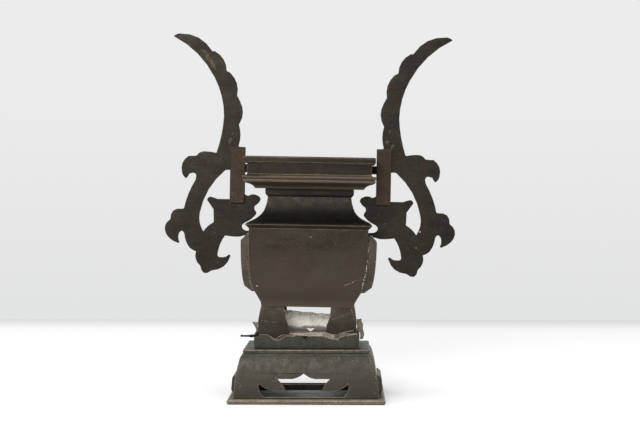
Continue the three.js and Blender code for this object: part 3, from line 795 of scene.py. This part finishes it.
# %% Build the cover
cover_grid = bmesh.new()
for seed, (shape, columns, rows, crumple, ragged, finish) in enumerate((
        (flap, 44, 20, 0.55, 0.9, FLAP_FINISH),
        (flap_fold, 16, 5, 0.2, 0.2, HEM_FINISH),
        (nick, 6, 6, 0.1, 0.3, WHITE_FINISH),
        (deck_middle, 24, 30, 0.12, 0, GREY_FINISH),
        (deck_left, 20, 24, 0.12, 0, GREY_FINISH),
        (deck_right, 20, 24, 0.12, 0, GREY_FINISH),
        (front_lip, 44, 5, 0.25, 0.8, HEM_FINISH),
        (lip_scrap, 10, 5, 0.1, 0, TRAY_FINISH),
        (notch_shadow, 6, 4, 0, 0, DARK_AND_SHADOW_FINISH),
        (crumple_face, 48, 5, 0.35, 0.3, DULL_FINISH),
        (hem(LOW_HEM, 0.35, 0.3), 60, 2, 0.3, 0.2, HEM_FINISH),
        (hem(HIGH_HEM, 0.1, -0.5), 60, 2, 0.3, 0.2, MUTED_FINISH),
        (hem(LEFT_HEM, 0.1, 0.1), 40, 2, 0.15, 0.2, MUTED_FINISH),
        (prong, 24, 3, 0.15, 0.3, DARK_AND_SHADOW_FINISH),
        (left_curl, 14, 18, 0.3, 0.8, GREY_FINISH),
        (right_fold, 20, 18, 0.35, 0.6, GREY_FINISH),
        (inner_ply, 10, 10, 0.2, 0.6, GREY_FINISH))):
    tongue(cover_grid, shape, columns, rows, crumple, ragged, finish, seed + 1)
cover_mesh = bpy.data.meshes.new("torn_cover")
cover_grid.to_mesh(cover_mesh)
cover_grid.free()
cover = mesh_object("torn_cover", cover_mesh, *cover_finishes)
thicken = cover.modifiers.new("sheet thickness", "SOLIDIFY")
thicken.thickness = COVER_THICK * MM
thicken.offset = 0
thicken.material_offset_rim = 1
add_shading(cover)
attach(cover, "root")
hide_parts("torn_cover_sheet")
nodes["torn_cover_sheet"].data.materials.clear()
nodes["torn_cover_sheet"].data.materials.append(grey_sheet)
print("torn cover:", len(cover_mesh.polygons), "faces")

# %% [markdown]
# ## Flecks of solder
# Bright flecks of solder sit along the side panels' seams, on the straps and here and there on the ears. They
# are placed where the photograph shows them: a ray from the camera through that point finds the surface, and
# a small uneven drop is pressed onto it there.

# %% Find the surface behind a point of the photograph
surfaces = {
    name: BVHTree.FromPolygons(
        [vertex.co for vertex in node.data.vertices], [polygon.vertices[:] for polygon in node.data.polygons])
    for name, node in nodes.items()
}


def surface_behind(px, py):
    """The nearest point of a CAD node that the camera sees there in the photograph, and its normal."""
    step = SENSOR / LENS / PHOTO_WIDTH
    aim = Vector(((px - PHOTO_WIDTH / 2) * step, (PHOTO_HEIGHT / 2 - py) * step, -1))
    direction = (camera.matrix_world.to_3x3() @ aim).normalized()
    hits = [tree.ray_cast(camera.location, direction) for tree in surfaces.values()]
    hits = [hit for hit in hits if hit[0] is not None]
    if not hits:
        return None, None
    place, normal = min(hits, key=lambda hit: hit[3])[:2]
    return place, normal


print("a ray can meet", len(surfaces), "CAD nodes")

# %% Drops of solder
DROP_HEIGHT = 0.22


def drop(mesh, px, py, long, wide, turn, seed):
    """A flattened uneven drop, long and wide in millimetres, turned by an angle in degrees."""
    place, normal = surface_behind(px, py)
    if place is None:
        print("no surface at", px, py)
        return
    across = Vector((0, 0, 1)).cross(normal).normalized()
    up = normal.cross(across)
    angle = math.radians(turn)
    forward = across * math.cos(angle) + up * math.sin(angle)
    side = normal.cross(forward)
    made = bmesh.ops.create_icosphere(mesh, subdivisions=2, radius=1)["verts"]
    for vertex in made:
        uneven = 1 + 0.35 * noise.noise(vertex.co * 1.7 + Vector((seed, seed * 0.7, 0)))
        local = vertex.co * uneven
        flat = forward * local.x * long / 2 + side * local.y * wide / 2
        vertex.co = place + (flat + normal * local.z * DROP_HEIGHT) * MM


random.seed(7)
drop_seeds = itertools.count()


def seam(mesh, line, count, long, wide, turn, scatter):
    """Drops strewn along a broken line of the photograph, scatter pixels to either side."""
    for step in range(count):
        px, py = along(line, (step + random.random() * 0.6) / count)
        px += random.uniform(-scatter, scatter)
        py += random.uniform(-scatter, scatter)
        size = random.uniform(0.5, 1)
        drop(mesh, px, py, long * size, wide * size, turn, next(drop_seeds))


def scatter_object(name, mesh, finish):
    """Turns a mesh of drops into an object that rides on the burner."""
    data = bpy.data.meshes.new(name)
    mesh.to_mesh(data)
    mesh.free()
    made = mesh_object(name, data, finish)
    add_shading(made)
    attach(made, "root")
    print(name, "has", len(data.polygons), "faces")


# %% Bright flecks on the vessel
LEFT_SEAM = ((247.5, 264), (248.3, 273.3), (250, 281.7), (251.7, 288))
RIGHT_SEAM = ((369.2, 247), (368.3, 253.3), (367, 265), (365.8, 273.3), (363.3, 283.3), (361.7, 289.2))
SCRATCH = ((344, 286), (350.5, 283), (358, 280.5))

fleck_mesh = bmesh.new()
seam(fleck_mesh, LEFT_SEAM, 9, 1.5, 0.55, 85, 0.2)
seam(fleck_mesh, RIGHT_SEAM, 15, 1.9, 0.7, 82, 0.3)
seam(fleck_mesh, SCRATCH, 9, 1.0, 0.6, 20, 0.15)
lone_drops = ((257, 286, 1.3, 0.9), (420, 232, 1.1, 0.8), (416, 248, 0.9, 0.7), (311, 237, 0.8, 0.6))
for px, py, long, wide in lone_drops:
    drop(fleck_mesh, px, py, long, wide, 10, 90 + px)
fleck_finish = tin_finish(
    "solder", ground=srgb(176, 168, 152), cloud=srgb(205, 197, 182), blotch=srgb(140, 130, 114), speck=DUST)
scatter_object("solder_flecks", fleck_mesh, fleck_finish)

# %% Dull smears of old solder
smears = (
    (387.5, 142.5, 4.4, 3.2, 20), (392.5, 147, 4, 2.4, 70), (390, 132, 3, 2, 80), (230.5, 141, 5.4, 3.6, 60),
    (233, 134, 3.4, 2.4, 80), (205, 52.5, 8, 3.4, -38), (209, 58.5, 8, 4, -50), (213.5, 66, 8, 3.4, -62))
smear_mesh = bmesh.new()
for count, (px, py, long, wide, turn) in enumerate(smears):
    drop(smear_mesh, px, py, long, wide, turn, 200 + count)
smear_finish = tin_finish(
    "old solder", ground=srgb(48, 44, 36), cloud=srgb(72, 68, 55), blotch=srgb(56, 46, 36), speck=DUST)
scatter_object("solder_smears", smear_mesh, smear_finish)

# %% Crumbs along folds and edges
crumb_mesh = bmesh.new()
seam(crumb_mesh, ((262, 320.5), (270, 322), (276, 322.5)), 8, 2.0, 0.45, -8, 0.15)
seam(crumb_mesh, ((333, 319.5), (338, 317.5), (343, 315.5)), 6, 1.6, 0.45, 20, 0.15)
seam(crumb_mesh, ((350.8, 308), (353, 314), (354.4, 321)), 9, 2.2, 0.5, 105, 0.1)
seam(crumb_mesh, ((367.5, 353), (373, 366), (378.5, 388)), 18, 1.0, 0.7, 60, 0.4)
seam(crumb_mesh, ((248, 353), (242, 368), (237, 386)), 9, 0.8, 0.5, 120, 0.3)
crumb_finish = tin_finish(
    "crumbs", ground=srgb(112, 104, 88), cloud=srgb(140, 132, 116), blotch=srgb(90, 78, 62), speck=DUST)
scatter_object("solder_crumbs", crumb_mesh, crumb_finish)

# %% [markdown]
# ## The soldered joint under the rim
# The neck is soldered to the rim from inside, so no light passes between them. The frame leaves a narrow gap
# for the solder. This thin bead runs round inside that gap and closes it, in the same dark tin as its
# neighbours. A curve with a round bevel is the quickest way to such a bead, and it is turned into a mesh.


# %% The bead
BEAD_RADIUS = 0.7 * MM
BEAD_INSET = 0.9 * MM
COLLAR_TOP = 3 * MM


def neck_bead():
    """A closed tube of dark solder round the top of the neck, a little inside its face."""
    collar = nodes["neck_collar"].data
    highest = max(vertex.co.z for vertex in collar.vertices)
    top = [vertex.co for vertex in collar.vertices if vertex.co.z > highest - COLLAR_TOP]
    middle = sum(top, Vector()) / len(top)
    outer_x = max(point.x for point in top) - middle.x
    outer_y = max(point.y for point in top)
    upper = [point.z for point in top if point.z > middle.z]
    level = sum(upper) / len(upper)
    lean = (max(point.z for point in top if point.x < 0) - max(point.z for point in top if point.x > 0)) / 2
    corners = [(outer_x, outer_y), (-outer_x, outer_y), (-outer_x, -outer_y), (outer_x, -outer_y)]
    curve = bpy.data.curves.new("neck_bead", "CURVE")
    curve.dimensions = "3D"
    curve.bevel_depth = BEAD_RADIUS
    curve.bevel_resolution = 3
    line = curve.splines.new("POLY")
    line.points.add(len(corners) - 1)
    for point, (x, y) in zip(line.points, corners):
        inward = 1 - BEAD_INSET / outer_x
        inner_y = y * (1 - BEAD_INSET / outer_y)
        point.co = (middle.x + x * inward, inner_y, level - lean * x / outer_x, 1)
    line.use_cyclic_u = True
    return curve


bead_curve = bpy.data.objects.new("neck_bead_curve", neck_bead())
bead_mesh = bpy.data.meshes.new_from_object(bead_curve)
bead = mesh_object("neck_bead", bead_mesh, finishes["dark_tin"][0])
bpy.data.objects.remove(bead_curve)
add_shading(bead)
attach(bead, "root")
print("neck bead:", len(bead_mesh.polygons), "faces")
